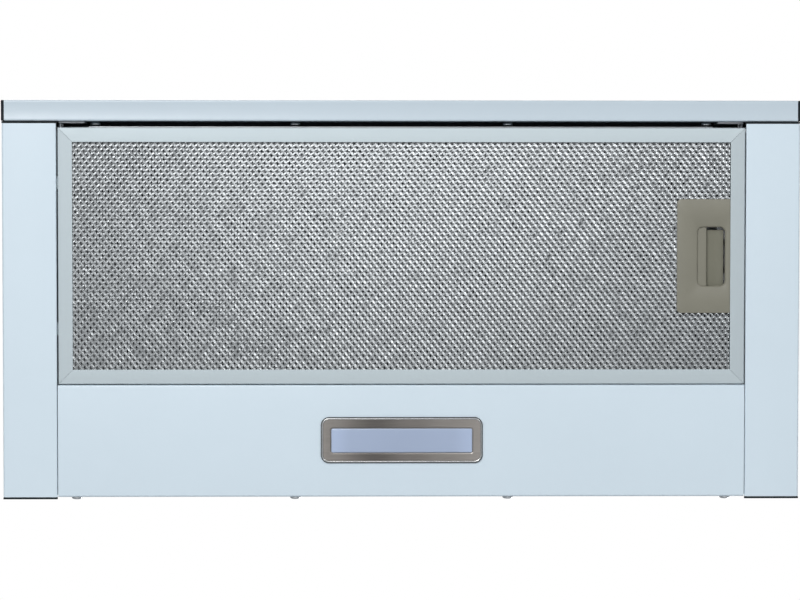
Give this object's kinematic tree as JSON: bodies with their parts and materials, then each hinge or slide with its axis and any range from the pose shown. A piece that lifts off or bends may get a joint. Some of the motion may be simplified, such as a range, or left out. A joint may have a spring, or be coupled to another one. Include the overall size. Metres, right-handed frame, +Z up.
{
  "type": "under cabinet range hood",
  "caption": "Telescopic under cabinet range hood: white body with slide-out fascia, hinged mesh grease filter with latch, lamp, blower and duct collar",
  "frame": {"origin": "in the plane of the cabinet's underside, on the hood's centreline, midway along its closed depth", "axes": "+X to the right seen from the front, -Y towards the front, +Z up into the cabinet"},
  "size_m": [0.598, 0.2993, 0.209],
  "materials": {
    "white_paint": "satin white powder coat",
    "black_plastic": "matte black",
    "galvanised_steel": "dull zinc",
    "filter_aluminium": "satin",
    "mesh_aluminium": "expanded metal, bright",
    "taupe_plastic": "fine grain taupe",
    "bezel_steel": "brushed champagne grey",
    "lens_plastic": "frosted, faintly blue",
    "seal_rubber": "matt black",
    "board": "green laminate",
    "grey_plastic": "moulded grey",
    "screw_steel": "bright zinc",
    "motor_steel": "dull grey",
    "spring_steel": "spring steel"
  },
  "bodies": {
    "housing": {"side_channel_left": "white_paint", "side_channel_right": "white_paint", "channel_front_cap_left": "black_plastic", "channel_front_cap_right": "black_plastic", "channel_rear_cap_left": "black_plastic", "channel_rear_cap_right": "black_plastic", "light_panel": "white_paint", "housing_shell": "galvanised_steel", "housing_side_left": "galvanised_steel", "housing_side_right": "galvanised_steel", "cabinet_clip_left": "spring_steel", "cabinet_clip_right": "spring_steel", "base_frame": "galvanised_steel", "front_screw_1": "screw_steel", "front_screw_2": "screw_steel", "front_screw_3": "screw_steel", "front_screw_4": "screw_steel", "rear_screw_1": "screw_steel", "rear_screw_2": "screw_steel", "rear_screw_3": "screw_steel", "rear_screw_4": "screw_steel", "lamp_bezel": "bezel_steel", "lamp_lens": "lens_plastic", "lamp_board": "board", "lamp_housing": "grey_plastic", "inner_filter_frame": "filter_aluminium", "inner_filter_mesh": "mesh_aluminium", "rail_left": "galvanised_steel", "rail_right": "galvanised_steel", "fan_scroll_left": "grey_plastic", "fan_scroll_right": "grey_plastic", "fan_motor": "motor_steel", "run_capacitor": "grey_plastic", "terminal_cover": "grey_plastic", "cable_gland": "black_plastic", "outlet_collar": "grey_plastic"},
    "drawer": {"fascia": "white_paint", "fascia_cap_left": "black_plastic", "fascia_cap_right": "black_plastic", "fascia_seal": "seal_rubber", "switch_block": "grey_plastic", "drawer_arm_left": "galvanised_steel", "drawer_arm_right": "galvanised_steel", "drawer_crossbar": "galvanised_steel", "runner_left": "spring_steel", "runner_right": "spring_steel", "latch_strike": "spring_steel"},
    "filter": {"filter_frame": "filter_aluminium", "filter_mesh": "mesh_aluminium", "latch_housing": "taupe_plastic", "latch_spring": "spring_steel"},
    "latch": {"latch_slider": "taupe_plastic"},
    "fan": {"fan_wheel": "grey_plastic", "fan_shaft": "spring_steel"},
    "flap_front": {"damper_flap_front": "grey_plastic"},
    "flap_rear": {"damper_flap_rear": "grey_plastic"},
    "lamp_button": {"button_lamp": "grey_plastic"},
    "speed_button_1": {"button_speed_1": "grey_plastic"},
    "speed_button_2": {"button_speed_2": "grey_plastic"},
    "speed_button_3": {"button_speed_3": "grey_plastic"}
  },
  "joints": [
    {"name": "drawer_slide", "type": "slide", "parent": "housing", "child": "drawer", "axis": [0, -1, 0], "range_m": [0, 0.16]},
    {"name": "filter_swing", "type": "hinge", "parent": "drawer", "child": "filter", "pos_m": [-0.2555, 0, -0.038], "axis": [0, 1, 0], "range_deg": [0, 75], "deforming": ["latch_strike"]},
    {"name": "latch_slide", "type": "slide", "parent": "filter", "child": "latch", "axis": [-1, 0, 0], "range_m": [0, 0.005], "stiffness_N_per_m": 400, "springref_m": -0.002, "deforming": ["latch_spring"]},
    {"name": "lamp_button_press", "type": "slide", "parent": "drawer", "child": "lamp_button", "axis": [0, 1, 0], "range_m": [0, 0.0015], "stiffness_N_per_m": 600, "springref_m": -0.001},
    {"name": "speed_button_1_press", "type": "slide", "parent": "drawer", "child": "speed_button_1", "axis": [0, 1, 0], "range_m": [0, 0.0015], "stiffness_N_per_m": 600, "springref_m": -0.001},
    {"name": "speed_button_2_press", "type": "slide", "parent": "drawer", "child": "speed_button_2", "axis": [0, 1, 0], "range_m": [0, 0.0015], "stiffness_N_per_m": 600, "springref_m": -0.001},
    {"name": "speed_button_3_press", "type": "slide", "parent": "drawer", "child": "speed_button_3", "axis": [0, 1, 0], "range_m": [0, 0.0015], "stiffness_N_per_m": 600, "springref_m": -0.001},
    {"name": "fan_spin", "type": "hinge", "parent": "housing", "child": "fan", "pos_m": [0, 0.01, 0.07], "axis": [1, 0, 0], "continuous": true},
    {"name": "flap_front_swing", "type": "hinge", "parent": "housing", "child": "flap_front", "pos_m": [0, -0.0186, 0.141], "axis": [-1, 0, 0], "range_deg": [0, 75]},
    {"name": "flap_rear_swing", "type": "hinge", "parent": "housing", "child": "flap_rear", "pos_m": [0, -0.0134, 0.141], "axis": [1, 0, 0], "range_deg": [0, 75]}
  ]
}
